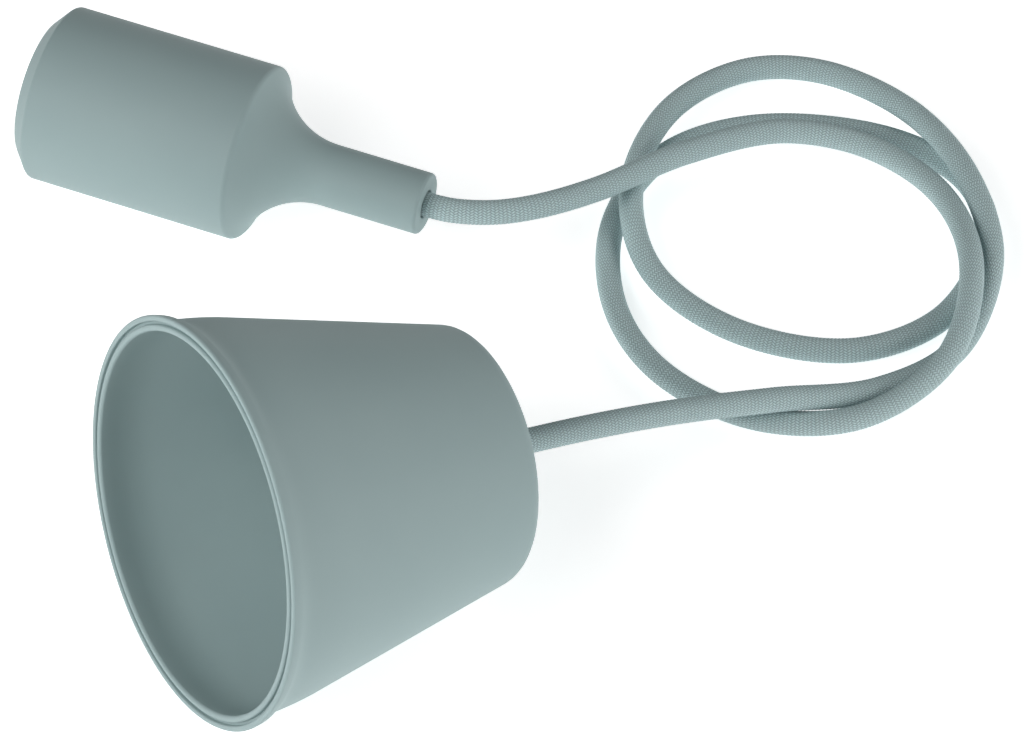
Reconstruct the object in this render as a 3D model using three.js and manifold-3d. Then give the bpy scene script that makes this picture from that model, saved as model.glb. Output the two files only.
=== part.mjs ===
// Pendant cord set: a screw-in lamp holder in a soft moulded sleeve, a round
// braided two-core cord laid in two loops, and a conical ceiling cup that hides
// the cord's strain relief and terminals. Everything lies on a flat surface.
// Units are millimetres and +Z is up.
import * as THREE from 'three';
import { mergeVertices } from 'three/addons/utils/BufferGeometryUtils.js';
import Module from 'manifold-3d';

const wasm = await Module();
wasm.setup();

// Fineness of the round forms
const largeRound = 48;
const mediumRound = 32;
const smallRound = 16;
const arcSteps = 6;

// Clearance between pieces that seat on or pass through each other
const gap = 0.3;

// How far a cutting tool runs past the faces that it opens
const over = 1;

// Cord
const cordDiameter = 6.2;
const cordSides = 12;
const cordSteps = 80;
const coreDiameter = 2.2;
const coreSpacing = 2.6;
const coreStart = 0.8;
const coreSides = 8;
const coreSteps = 24;

// Moulded sleeve, measured along its axis from the mouth
const sleeveDiameter = 45;
const sleeveLength = 104;
const sleeveWall = 2.4;
const mouthFaceDiameter = 36;
const mouthChamferLength = 3.8;
const mouthOpening = 33;
const mouthLip = 2.2;
const flareEnd = 78.1;
const flareRadius = 20.4;
const shoulderEdge = 1.4;
const neckDiameter = 15.8;
const neckEdge = 0.9;
const neckMouthWidening = 0.4;
const neckMouthDepth = 6;

// Holder skirt and cap
const skirtLength = 31.5;
const skirtWall = 2;
const skirtFlange = 2.2;
const skirtMouth = 26.4;
const spigotWall = 1.6;
const spigotLength = 5.5;
const capWall = 2;
const capBarrel = 12.7;
const capCone = 9;
const capTopDiameter = 17;
const capTopThickness = 2.4;
const capTopInset = 0.5;
const capLedgeWidth = 3.3;
const capInnerStraight = 6.7;

// Contact carrier, thread shell and contacts
const shellBore = 25.9;
const shellThickness = 0.5;
const shellLength = 22.5;
const shellFootWidth = 3.9;
const carrierThickness = 12.2;
const carrierFlange = 4;
const collarWall = 1.55;
const collarHeight = 7.8;
const stripThickness = 0.6;
const stripWidth = 5;
const stripFoot = 4.6;
const stripRise = 2.8;
const stripReach = 10.8;
const stripCrest = 2;
const stripTipDrop = 1;
const rivetDiameter = 2.4;
const rivetHeadDiameter = 3.2;
const rivetHead = 0.7;
const liveRivetPlace = -5.5;
const neutralRivetPlace = 11;
const rivetGrip = 1.2;
const terminalSide = 6;
const terminalLength = 7;
const liveTerminalPlace = -6.5;
const neutralTerminalPlace = 9.9;
const terminalScrewDiameter = 2.4;
const terminalScrewHeadDiameter = 4.4;
const terminalScrewHead = 1.5;
const wireHoleDiameter = coreDiameter + 2 * gap;

// Threaded cord grip on the cap, with its nut and screw
const gripThreadDiameter = 9.8;
const gripCollarDiameter = 11.6;
const gripCollarLength = 14;
const gripThreadTail = 4.6;
const gripScrewDiameter = 2.6;
const gripScrewPlace = 7.5;
const nutAcrossCorners = 14.4;
const nutThickness = 3;
const cordInset = 1;
const holderCoreSwing = 4.2;
const holderCoreEntry = 2;

// Ceiling cup, measured along its axis from the rim
const rimDiameter = 100;
const endDiameter = 62.7;
const cupHeight = 77.5;
const cupWall = 1.8;
const cupFloor = 2.6;
const cupEndEdge = 4.7;
const cupInnerEdge = 3;
const rimLipWidth = 1.6;
const rimGrooveWidth = 0.8;
const rimGrooveDepth = 1.1;
const rimBeadWidth = 1.6;
const rimBeadDepth = 1.7;
const rimUndercut = 0.37;
const rimUndercutDepth = 7.5;
const rimBlendDepth = 14;
const rimThinning = 0.7;
const taperDepth = 45;
const rimBandWidth = 2.2;
const waistDepth = 0.6;
const waistPlace = 5;
const waistEnd = 13;

// Strain relief base inside the cup, with its hanging eye
const reliefWidth = 20;
const reliefThickness = 7;
const reliefLength = 15;
const trayThickness = 2;
const trayReach = 15.5;
const eyePlateThickness = 3.5;
const eyeDiameter = 10;
const eyeRim = 4;
const eyeDrop = 12.6;
const eyeStemWidth = 9;
const eyeStemRoot = 2;
const clampWidth = 19;
const clampThickness = 5.4;
const clampLength = 8;
const clampScrewSpread = 6.8;
const clampScrewDiameter = 2.6;
const clampScrewHeadDiameter = 5.2;
const clampScrewHead = 1.8;
const clampScrewLength = 10;
const clampHoleFloor = 1.5;
const cordTail = 1.2;

// Terminal block on the tray
const blockWidth = 14.9;
const blockHeight = 12;
const blockLength = 18;
const blockPitch = 9;
const blockEdge = 2.9;
const barrelDiameter = 4.6;
const barrelWall = 0.9;
const barrelInset = 1;
const barrelScrewDiameter = 2.6;
const barrelScrewSpread = 4.6;
const blockScrewDiameter = 2;
const blockScrewHeadDiameter = 3.4;
const blockScrewHead = 1;
const coreTurn = 3.5;
const liveCoreLoop = 7;
const neutralCoreLoop = 11;
const cupCoreEntry = 3;

// Straight length of cord just outside the holder and the cup
const cordStraight = 2;

// Where the cord leaves the holder and enters the cup, seen from above, and
// the way that the cup points as it lies
const holderExit = [18.8, 71.3];
const cupExit = [61.9, -2.9];
const cupHeading = THREE.MathUtils.degToRad(49.5);

// The cord's way over the surface, from the holder to the cup
const cordRoute = [
  [26.5, 72, 22.5],
  [35.7, 75.2, 22.5],
  [44.4, 81.3, 21.8],
  [55.2, 95.1, 18.1],
  [70.5, 118, 14],
  [89.8, 137.2, 9.7],
  [111, 142, 7.5],
  [133.6, 132, 9.9],
  [149.5, 109.3, 13],
  [152.4, 82.3, 9.4],
  [138, 61.5, 4.5],
  [113.9, 52.4, 3.2],
  [87, 56.9, 3.8],
  [68.5, 73, 3.5],
  [58.5, 99, 3.2],
  [63, 124.5, 3.2],
  [81.5, 141.5, 3.5],
  [115, 150, 3.2],
  [137.1, 143.4, 3.6],
  [147.9, 127.5, 3.2],
  [145.8, 98.9, 3.6],
  [128.5, 81, 3.5],
  [99, 76, 4],
  [74, 85, 5.5],
  [61, 104, 9.5],
  [60, 134, 8.5],
  [72.5, 157, 5],
  [90, 164, 4.5],
  [116.7, 156.7, 8.1],
  [139, 138, 11.5],
  [152.5, 116.5, 9],
  [152.6, 90.9, 3.9],
  [139, 71.5, 4],
  [117.4, 53.9, 10.3],
  [98.5, 37.4, 16.3],
  [81.5, 20, 22.5],
];

// Finishes
const softGrey = { color: 0x8ba19f, roughness: 0.62, metalness: 0 };
const braidGrey = { color: 0x98adac, roughness: 0.85, metalness: 0 };
const paleMoulding = { color: 0xd9d9d2, roughness: 0.45, metalness: 0 };
const brassy = { color: 0xb58e4a, roughness: 0.35, metalness: 1 };
const plated = { color: 0xb9bcbf, roughness: 0.35, metalness: 1 };
const brownSheath = { color: 0x5a3822, roughness: 0.5, metalness: 0 };
const blueSheath = { color: 0x2b5fa8, roughness: 0.5, metalness: 0 };

// Sizes that follow from the ones above
const cordRadius = cordDiameter / 2;
const coreRadius = coreDiameter / 2;
const cordBore = cordRadius + gap;
const sleeveRadius = sleeveDiameter / 2;
const sleeveCavity = sleeveRadius - sleeveWall;
const neckRadius = neckDiameter / 2;
const holderRadius = sleeveCavity - gap;
const skirtStart = mouthLip + gap;
const skirtEnd = skirtStart + skirtLength;
const skirtBore = holderRadius - skirtWall;
const capStart = skirtEnd + gap;
const capBore = holderRadius - capWall;
const capShoulder = capStart + capBarrel;
const capEnd = capShoulder + capCone;
const capTopRadius = capTopDiameter / 2;
const capTopInside = capEnd - capTopThickness;
const spigotRadius = capBore - gap;
const spigotBore = spigotRadius - spigotWall;
const spigotEnd = skirtEnd + spigotLength;
const shellStart = skirtStart + skirtFlange + gap;
const shellEnd = shellStart + shellLength;
const shellRadius = shellBore / 2 + shellThickness;
const carrierFace = shellEnd + gap;
const carrierBack = carrierFace + carrierThickness;
const carrierRadius = spigotBore - gap;
const flangeRadius = skirtBore - gap;
const flangeBack = carrierFace + carrierFlange;
const capLedge = carrierBack + gap;
const capLedgeRadius = capBore - capLedgeWidth;
const terminalFace = carrierBack + gap;
const terminalBack = terminalFace + terminalSide;
const wireLevel = terminalFace + terminalSide / 2;
const gripCollarStart = capEnd + gap;
const gripEnd = gripCollarStart + gripCollarLength;
const gripStart = capTopInside - gripThreadTail;
const gripThreadRadius = gripThreadDiameter / 2;
const gripRadius = gripCollarDiameter / 2;
const cordStart = gripStart - cordInset;
const nutBack = capTopInside - gap;

const rimRadius = rimDiameter / 2;
const endRadius = endDiameter / 2;
const cupSlope = (rimRadius - endRadius) / cupHeight;
const cupTilt = Math.atan(cupSlope);
const cupFloorFace = cupHeight - cupFloor;
const reliefBack = cupFloorFace - gap;
const reliefFront = reliefBack - reliefLength;
const splitHalf = gap / 2;
const trayTop = splitHalf + reliefThickness - trayThickness;
const blockBottom = trayTop - gap;
const blockTop = blockBottom - blockHeight;
const blockSide = reliefWidth / 2 + gap;
const blockBack = reliefBack - gap;
const blockFront = blockBack - blockLength;
const barrelLevel = (blockTop + blockBottom) / 2;
const cordEnd = reliefFront - cordTail;

// Closed outline of [radius, height] points, turned about Z
function turned(outline, segments) {
  const points = outline.map(([radius, height]) => new THREE.Vector2(radius, height));
  if (THREE.ShapeUtils.area(points) < 0) {
    points.reverse();
  }
  points.push(points[0].clone());
  return new THREE.LatheGeometry(points, segments).rotateX(Math.PI / 2);
}

// Outline points of a round arc, from one angle to another
function arc(centreRadius, centreHeight, radius, from, to, steps = arcSteps) {
  return Array.from({ length: steps + 1 }, (_, step) => {
    const angle = from + ((to - from) * step) / steps;
    return [centreRadius + radius * Math.cos(angle), centreHeight + radius * Math.sin(angle)];
  });
}

// Rounding between a cone's side and its flat end, where radius is what the
// side would have at the end
function endRounding(radius, height, edge) {
  const centre = radius + edge * Math.tan(cupTilt) - edge / Math.cos(cupTilt);
  return arc(centre, height - edge, edge, cupTilt, Math.PI / 2);
}

// Round bar between two levels, along X, Y or Z
function bar(radius, from, to, axis = 'z', segments = smallRound) {
  const geometry = new THREE.CylinderGeometry(radius, radius, to - from, segments);
  geometry.translate(0, (from + to) / 2, 0);
  if (axis === 'z') {
    geometry.rotateX(Math.PI / 2);
  }
  if (axis === 'x') {
    geometry.rotateZ(-Math.PI / 2);
  }
  return geometry;
}

// Block between two corners
function block([x0, y0, z0], [x1, y1, z1]) {
  const geometry = new THREE.BoxGeometry(x1 - x0, y1 - y0, z1 - z0);
  return geometry.translate((x0 + x1) / 2, (y0 + y1) / 2, (z0 + z1) / 2);
}

// Turn a geometry into a solid that can be cut, and back
function toSolid(geometry) {
  const bare = geometry.clone();
  bare.deleteAttribute('normal');
  bare.deleteAttribute('uv');
  const merged = mergeVertices(bare, 1e-4);
  const corners = merged.index.array;
  const kept = [];
  for (let i = 0; i < corners.length; i += 3) {
    const [a, b, c] = [corners[i], corners[i + 1], corners[i + 2]];
    if (a !== b && b !== c && c !== a) {
      kept.push(a, b, c);
    }
  }
  const vertProperties = merged.attributes.position.array;
  const triVerts = new Uint32Array(kept);
  return new wasm.Manifold(new wasm.Mesh({ numProp: 3, vertProperties, triVerts }));
}

function toGeometry(solid) {
  const { vertProperties, triVerts } = solid.getMesh();
  const geometry = new THREE.BufferGeometry();
  geometry.setAttribute('position', new THREE.BufferAttribute(vertProperties, 3));
  geometry.setIndex(new THREE.BufferAttribute(triVerts, 1));
  geometry.computeVertexNormals();
  return geometry;
}

function cut(geometry, ...tools) {
  return toGeometry(tools.reduce((left, tool) => left.subtract(toSolid(tool)), toSolid(geometry)));
}

function join(geometry, ...others) {
  return toGeometry(others.reduce((sum, other) => sum.add(toSolid(other)), toSolid(geometry)));
}

// Round cable through a list of points
function cable(points, radius, sides, steps) {
  const path = new THREE.CatmullRomCurve3(points.map((point) => new THREE.Vector3(...point)));
  const section = new THREE.Shape();
  section.setFromPoints(
    Array.from({ length: sides }, (_, side) => {
      const angle = (side * 2 * Math.PI) / sides;
      return new THREE.Vector2(radius * Math.cos(angle), radius * Math.sin(angle));
    }),
  );
  return new THREE.ExtrudeGeometry(section, { steps, bevelEnabled: false, extrudePath: path });
}

// Flat outline in a plane, pushed out along the third axis from one level to another
function plate(outline, from, to) {
  const geometry = new THREE.ExtrudeGeometry(outline, {
    depth: to - from,
    bevelEnabled: false,
    curveSegments: smallRound,
  });
  return geometry.translate(0, 0, from);
}

// Cheese-head screw along X with its head's outer face at the given level
function screwAlongX(head, headLength, shank, level, length) {
  const cap = bar(head / 2, level, level + headLength, 'x');
  return join(cap, bar(shank / 2, level, level + headLength + length, 'x'));
}

function piece(name, geometry, finish, place = [0, 0, 0]) {
  const mesh = new THREE.Mesh(geometry, new THREE.MeshStandardMaterial(finish));
  mesh.name = name;
  mesh.position.set(...place);
  return mesh;
}

// Soft sleeve: barrel, concave flare and straight neck, hollowed for the holder.
// The shoulder's rounding touches both the barrel and the flare.
function sleeve() {
  const flareCentre = neckRadius + flareRadius;
  const edgeCentre = sleeveRadius - shoulderEdge;
  const across = flareCentre - edgeCentre;
  const back = Math.sqrt((flareRadius + shoulderEdge) ** 2 - across ** 2);
  const touch = Math.atan2(back, across);
  const outline = [
    [mouthOpening / 2, 0],
    [mouthFaceDiameter / 2, 0],
    [sleeveRadius, mouthChamferLength],
    ...arc(edgeCentre, flareEnd - back, shoulderEdge, 0, touch, 4),
    ...arc(flareCentre, flareEnd, flareRadius, touch + Math.PI, Math.PI, 12).slice(1),
    [neckRadius, sleeveLength - neckEdge],
    [neckRadius - neckEdge, sleeveLength],
    [cordBore + neckMouthWidening, sleeveLength],
    [cordBore, sleeveLength - neckMouthDepth],
    [cordBore, gripEnd + gap],
    [gripRadius + gap, gripEnd + gap],
    [gripRadius + gap, gripCollarStart],
    [capTopRadius + gap, gripCollarStart],
    [sleeveCavity, capShoulder + gap],
    [sleeveCavity, mouthLip],
    [mouthOpening / 2, mouthLip],
  ];
  return turned(outline, largeRound);
}

// Skirt of the holder: front flange round the mouth, rear spigot into the cap
function skirt() {
  return turned([
    [skirtMouth / 2, skirtStart],
    [holderRadius, skirtStart],
    [holderRadius, skirtEnd],
    [spigotRadius, skirtEnd],
    [spigotRadius, spigotEnd],
    [spigotBore, spigotEnd],
    [spigotBore, flangeBack + gap],
    [skirtBore, flangeBack + gap],
    [skirtBore, skirtStart + skirtFlange],
    [skirtMouth / 2, skirtStart + skirtFlange],
  ], mediumRound);
}

// Cap of the holder: a cone with a ledge for the carrier and a hole for the grip
function cap() {
  return turned([
    [capBore, capStart],
    [holderRadius, capStart],
    [holderRadius, capShoulder],
    [capTopRadius, capEnd],
    [gripThreadRadius + gap, capEnd],
    [gripThreadRadius + gap, capTopInside],
    [capTopRadius - capTopInset, capTopInside],
    [capLedgeRadius, capLedge + capInnerStraight],
    [capLedgeRadius, capLedge],
    [capBore, capLedge],
  ], mediumRound);
}

// Shell that takes the lamp's thread, with a foot turned in towards the carrier
function threadShell() {
  const wall = turned([
    [shellBore / 2, shellStart],
    [shellRadius, shellStart],
    [shellRadius, shellEnd],
    [shellBore / 2 - shellFootWidth, shellEnd],
    [shellBore / 2 - shellFootWidth, shellEnd - shellThickness],
    [shellBore / 2, shellEnd - shellThickness],
  ], mediumRound);
  const hole = bar(rivetDiameter / 2 + gap, shellEnd - over, shellEnd + over);
  return cut(wall, hole.translate(neutralRivetPlace, 0, 0));
}

// Insulating carrier with a collar round the shell and two rivet holes
function carrier() {
  const body = turned([
    [0, carrierFace],
    [shellRadius + gap, carrierFace],
    [shellRadius + gap, carrierFace - collarHeight],
    [shellRadius + gap + collarWall, carrierFace - collarHeight],
    [shellRadius + gap + collarWall, carrierFace],
    [flangeRadius, carrierFace],
    [flangeRadius, flangeBack],
    [carrierRadius, flangeBack],
    [carrierRadius, carrierBack],
    [0, carrierBack],
  ], mediumRound);
  const holes = [liveRivetPlace, neutralRivetPlace].map((place) => (
    bar(rivetDiameter / 2 + gap, carrierFace - over, carrierBack + over).translate(place, 0, 0)
  ));
  return cut(body, ...holes);
}

// Spring strip that presses the lamp's centre contact
function centreContact() {
  const footStart = liveRivetPlace - stripFoot / 2;
  const footEnd = liveRivetPlace + stripFoot / 2;
  const tip = footStart + stripReach;
  const crest = tip - stripCrest;
  const under = carrierFace - gap;
  const outline = new THREE.Shape();
  outline.moveTo(footStart, under);
  outline.lineTo(footEnd, under);
  outline.lineTo(crest, under - stripRise);
  outline.lineTo(tip, under - stripRise + stripTipDrop);
  outline.lineTo(tip, under - stripRise + stripTipDrop - stripThickness);
  outline.lineTo(crest, under - stripRise - stripThickness);
  outline.lineTo(footEnd, under - stripThickness);
  outline.lineTo(footStart, under - stripThickness);
  outline.closePath();
  const strip = plate(outline, -stripWidth / 2, stripWidth / 2).rotateX(Math.PI / 2);
  const hole = bar(rivetDiameter / 2 + gap, under - over, under + over);
  return cut(strip, hole.translate(liveRivetPlace, 0, 0));
}

// Rivet through the carrier into a terminal, its head towards the lamp
function rivet(headSeat) {
  const head = bar(rivetHeadDiameter / 2, headSeat - rivetHead, headSeat);
  return join(head, bar(rivetDiameter / 2, headSeat - rivetHead, terminalFace + rivetGrip));
}

// Clamp terminal with a rivet hole below, a wire hole across and a screw hole on top
function terminal(rivetOffset) {
  const half = terminalSide / 2;
  const body = block([-half, -terminalLength / 2, terminalFace], [half, terminalLength / 2, terminalBack]);
  const rivetHole = bar(rivetDiameter / 2 + gap, terminalFace - over, terminalFace + rivetGrip + gap);
  const wireHole = bar(wireHoleDiameter / 2, -terminalLength, terminalLength, 'y');
  const screwHole = bar(terminalScrewDiameter / 2 + gap, wireLevel, terminalBack + over);
  rivetHole.translate(rivetOffset, 0, 0);
  wireHole.translate(0, 0, wireLevel);
  return cut(body, rivetHole, wireHole, screwHole);
}

function terminalScrew() {
  const seat = terminalBack + gap;
  const tip = wireLevel + coreRadius + gap;
  const head = bar(terminalScrewHeadDiameter / 2, seat, seat + terminalScrewHead);
  return join(head, bar(terminalScrewDiameter / 2, tip, seat + terminalScrewHead));
}

// Threaded cord grip: tail through the cap, collar outside it, side screw in the collar
function cordGrip() {
  const body = turned([
    [cordBore, gripStart],
    [gripThreadRadius, gripStart],
    [gripThreadRadius, gripCollarStart],
    [gripRadius, gripCollarStart],
    [gripRadius, gripEnd],
    [cordBore, gripEnd],
  ], mediumRound);
  const hole = bar(gripScrewDiameter / 2 + gap, 0, gripRadius + over, 'x');
  return cut(body, hole.translate(0, 0, gripCollarStart + gripScrewPlace));
}

function gripScrew() {
  const screw = bar(gripScrewDiameter / 2, cordBore, gripRadius - gap / 2, 'x');
  return screw.translate(0, 0, gripCollarStart + gripScrewPlace);
}

function lockNut() {
  const hexagon = bar(nutAcrossCorners / 2, nutBack - nutThickness, nutBack, 'z', 6);
  return cut(hexagon, bar(gripThreadRadius + gap, nutBack - nutThickness - over, nutBack + over));
}

// Core from the cord's cut end round into a terminal's wire hole
function holderCore(side, place) {
  const start = (side * coreSpacing) / 2;
  const terminalEnd = -side * (terminalLength / 2);
  const swing = -side * holderCoreSwing;
  return cable([
    [start, 0, cordStart - coreStart],
    [start, -side * (coreRadius - gap), wireLevel + coreDiameter],
    [start * 1.8, terminalEnd + swing / 4, wireLevel],
    [place * 0.62, terminalEnd + swing, wireLevel],
    [place, terminalEnd + swing * 0.85, wireLevel],
    [place, terminalEnd + swing * 0.4, wireLevel],
    [place, terminalEnd + side * holderCoreEntry, wireLevel],
  ], coreRadius, coreSides, coreSteps);
}

// Ceiling cup: grooved rim, shallow waist behind it, straight cone, rounded end.
// Inside, the wall thins towards the rim and has an undercut behind the rim's bead.
function ceilingCup() {
  const side = (height) => rimRadius - cupSlope * height;
  const wallAcross = cupWall / Math.cos(cupTilt);
  const inner = (height) => side(height) - wallAcross;
  const lipInner = rimRadius - rimLipWidth;
  const beadOuter = lipInner - rimGrooveWidth;
  const beadInner = beadOuter - rimBeadWidth;
  const outline = [
    [beadInner, 0],
    [beadOuter, 0],
    [beadOuter, rimGrooveDepth],
    [lipInner, rimGrooveDepth],
    [lipInner, 0],
    [rimRadius, 0],
    [side(rimBandWidth), rimBandWidth],
    [side(waistPlace) - waistDepth, waistPlace],
    [side(waistEnd), waistEnd],
    ...endRounding(endRadius, cupHeight, cupEndEdge),
    [cordBore, cupHeight],
    [cordBore, cupFloorFace],
    ...endRounding(inner(cupFloorFace), cupFloorFace, cupInnerEdge).reverse(),
    [inner(taperDepth), taperDepth],
    [inner(rimBlendDepth) + rimThinning, rimBlendDepth],
    [beadInner + rimUndercut, rimUndercutDepth],
    [beadInner, rimBeadDepth],
  ];
  return turned(outline, largeRound);
}

// Half-round trough along Z for the cord
function cordTrough() {
  return bar(cordBore, reliefFront - over, reliefBack + over, 'z', mediumRound);
}

function clampScrewHoles() {
  const level = reliefBack - reliefLength / 2;
  return [-1, 1].map((side) => (
    bar(clampScrewDiameter / 2 + gap, -clampScrewLength, splitHalf + reliefThickness - clampHoleFloor, 'x')
      .translate(0, side * clampScrewSpread, level)
  ));
}

// Strain relief base: lower clamp half, tray for the terminal block and hanging eye
function reliefBase() {
  const half = reliefWidth / 2;
  const bottom = splitHalf + reliefThickness;
  const body = block([splitHalf, -half, reliefFront], [bottom, half, reliefBack]);
  const tray = block([trayTop, -half - trayReach, reliefFront], [bottom, half, reliefBack]);
  const eyeCentre = reliefFront - eyeDrop;
  const ring = new THREE.Shape();
  ring.absarc(eyeCentre, 0, eyeDiameter / 2 + eyeRim, 0, 2 * Math.PI, false);
  const disc = plate(ring, bottom - eyePlateThickness, bottom);
  const stem = block(
    [eyeCentre, -eyeStemWidth / 2, bottom - eyePlateThickness],
    [reliefFront + eyeStemRoot, eyeStemWidth / 2, bottom],
  );
  const eye = new THREE.Shape();
  eye.absarc(eyeCentre, 0, eyeDiameter / 2, 0, 2 * Math.PI, false);
  const window = plate(eye, bottom - eyePlateThickness - over, bottom + over);
  const lug = cut(join(disc, stem), window);
  lug.applyMatrix4(new THREE.Matrix4().set(0, 0, 1, 0, 0, -1, 0, 0, 1, 0, 0, 0, 0, 0, 0, 1));
  const screwHole = bar(blockScrewDiameter / 2 + gap, trayTop - over, bottom + over, 'x');
  screwHole.translate(0, blockMiddle(), (blockFront + blockBack) / 2);
  return cut(join(body, tray, lug), cordTrough(), ...clampScrewHoles(), screwHole);
}

// Upper clamp half
function cordClamp() {
  const middle = reliefBack - reliefLength / 2;
  const half = clampLength / 2;
  const body = block(
    [-splitHalf - clampThickness, -clampWidth / 2, middle - half],
    [-splitHalf, clampWidth / 2, middle + half],
  );
  return cut(body, cordTrough(), ...clampScrewHoles());
}

function clampScrew() {
  const level = -splitHalf - clampThickness - gap - clampScrewHead;
  const middle = reliefBack - reliefLength / 2;
  const screw = screwAlongX(
    clampScrewHeadDiameter, clampScrewHead, clampScrewDiameter, level, clampScrewLength,
  );
  return screw.translate(0, 0, middle);
}

// Places of the terminal block's two ways and of its fixing screw, across the cup
function blockWay(way) {
  return -blockSide - blockEdge - way * blockPitch;
}

function blockMiddle() {
  return (blockWay(0) + blockWay(1)) / 2;
}

function barrelScrewLevels() {
  const middle = (blockFront + blockBack) / 2;
  return [middle - barrelScrewSpread, middle + barrelScrewSpread];
}

// Moulded housing with a way for each barrel, screw wells and a fixing hole
function terminalBlock() {
  const body = block(
    [blockTop, -blockSide - blockWidth, blockFront],
    [blockBottom, -blockSide, blockBack],
  );
  const wayRadius = barrelDiameter / 2 + gap;
  const ways = [0, 1].map((way) => (
    bar(wayRadius, blockFront - over, blockBack + over).translate(barrelLevel, blockWay(way), 0)
  ));
  const wells = [0, 1].flatMap((way) => barrelScrewLevels().map((level) => (
    bar(barrelScrewDiameter / 2 + gap, blockTop - over, barrelLevel, 'x').translate(0, blockWay(way), level)
  )));
  const fixing = bar(blockScrewDiameter / 2 + gap, blockTop - over, blockBottom + over, 'x');
  fixing.translate(0, blockMiddle(), (blockFront + blockBack) / 2);
  return cut(body, ...ways, ...wells, fixing);
}

function terminalBarrel(way) {
  const from = blockFront + barrelInset;
  const to = blockBack - barrelInset;
  const tube = turned([
    [barrelDiameter / 2 - barrelWall, from],
    [barrelDiameter / 2, from],
    [barrelDiameter / 2, to],
    [barrelDiameter / 2 - barrelWall, to],
  ], smallRound);
  const holes = barrelScrewLevels().map((level) => (
    bar(barrelScrewDiameter / 2 + gap, -barrelDiameter, 0, 'x').translate(0, 0, level)
  ));
  return cut(tube, ...holes).translate(barrelLevel, blockWay(way), 0);
}

function barrelScrew() {
  const top = blockTop + gap;
  return bar(barrelScrewDiameter / 2, top, barrelLevel - coreRadius - gap, 'x');
}

function blockScrew() {
  const level = blockTop - gap - blockScrewHead;
  const length = blockHeight + trayThickness;
  return screwAlongX(blockScrewHeadDiameter, blockScrewHead, blockScrewDiameter, level, length);
}

// Core from the cord's cut end in the cup, looped back into the terminal block
function cupCore(side, way, loop) {
  const start = (side * coreSpacing) / 2;
  const across = blockWay(way);
  const bottom = blockFront - loop;
  return cable([
    [0, start, cordEnd - coreStart],
    [0, start, cordEnd - loop / 2],
    [barrelLevel / 2, -coreTurn, bottom + coreRadius],
    [barrelLevel, (across - coreTurn) / 2, bottom],
    [barrelLevel, across * 0.93, bottom + loop * 0.3],
    [barrelLevel, across, blockFront - coreDiameter],
    [barrelLevel, across, blockFront + cupCoreEntry],
  ], coreRadius, coreSides, coreSteps);
}

// Lamp holder, its axis lying along +X with the mouth first
const holder = new THREE.Group();
holder.position.set(holderExit[0] - sleeveLength, holderExit[1], sleeveRadius);
holder.rotation.y = Math.PI / 2;
holder.add(
  piece('sleeve', sleeve(), softGrey),
  piece('holder_skirt', skirt(), paleMoulding),
  piece('holder_cap', cap(), paleMoulding),
  piece('contact_carrier', carrier(), paleMoulding),
  piece('thread_shell', threadShell(), brassy),
  piece('shell_rivet', rivet(shellEnd - shellThickness - gap), plated, [neutralRivetPlace, 0, 0]),
  piece('centre_contact', centreContact(), brassy),
  piece('centre_rivet', rivet(carrierFace - stripThickness - 2 * gap), plated, [liveRivetPlace, 0, 0]),
  piece('live_terminal', terminal(liveRivetPlace - liveTerminalPlace), brassy, [liveTerminalPlace, 0, 0]),
  piece(
    'neutral_terminal', terminal(neutralRivetPlace - neutralTerminalPlace), brassy,
    [neutralTerminalPlace, 0, 0],
  ),
  piece('live_terminal_screw', terminalScrew(), plated, [liveTerminalPlace, 0, 0]),
  piece('neutral_terminal_screw', terminalScrew(), plated, [neutralTerminalPlace, 0, 0]),
  piece('holder_live_core', holderCore(-1, liveTerminalPlace), brownSheath),
  piece('holder_neutral_core', holderCore(1, neutralTerminalPlace), blueSheath),
  piece('cord_grip', cordGrip(), paleMoulding),
  piece('grip_screw', gripScrew(), plated),
  piece('lock_nut', lockNut(), plated),
);

// Ceiling cup on its side, its axis running down towards the small end
const cup = new THREE.Group();
const cupReach = cupHeight * Math.cos(cupTilt);
cup.position.set(
  cupExit[0] - cupReach * Math.cos(cupHeading),
  cupExit[1] - cupReach * Math.sin(cupHeading),
  rimRadius * Math.cos(cupTilt),
);
cup.rotation.order = 'ZYX';
cup.rotation.set(0, Math.PI / 2 + cupTilt, cupHeading);
cup.add(
  piece('ceiling_cup', ceilingCup(), softGrey),
  piece('strain_relief_base', reliefBase(), paleMoulding),
  piece('cord_clamp', cordClamp(), paleMoulding),
  piece('clamp_screw_left', clampScrew(), plated, [0, -clampScrewSpread, 0]),
  piece('clamp_screw_right', clampScrew(), plated, [0, clampScrewSpread, 0]),
  piece('terminal_block', terminalBlock(), paleMoulding),
  piece('block_screw', blockScrew(), plated, [0, blockMiddle(), (blockFront + blockBack) / 2]),
  piece('live_barrel', terminalBarrel(0), brassy),
  piece('neutral_barrel', terminalBarrel(1), brassy),
  piece('cup_live_core', cupCore(-1, 0, liveCoreLoop), brownSheath),
  piece('cup_neutral_core', cupCore(1, 1, neutralCoreLoop), blueSheath),
);
['live', 'neutral'].forEach((pole, way) => {
  barrelScrewLevels().forEach((level, end) => {
    const name = `${pole}_barrel_screw_${end + 1}`;
    cup.add(piece(name, barrelScrew(), plated, [0, blockWay(way), level]));
  });
});

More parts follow.
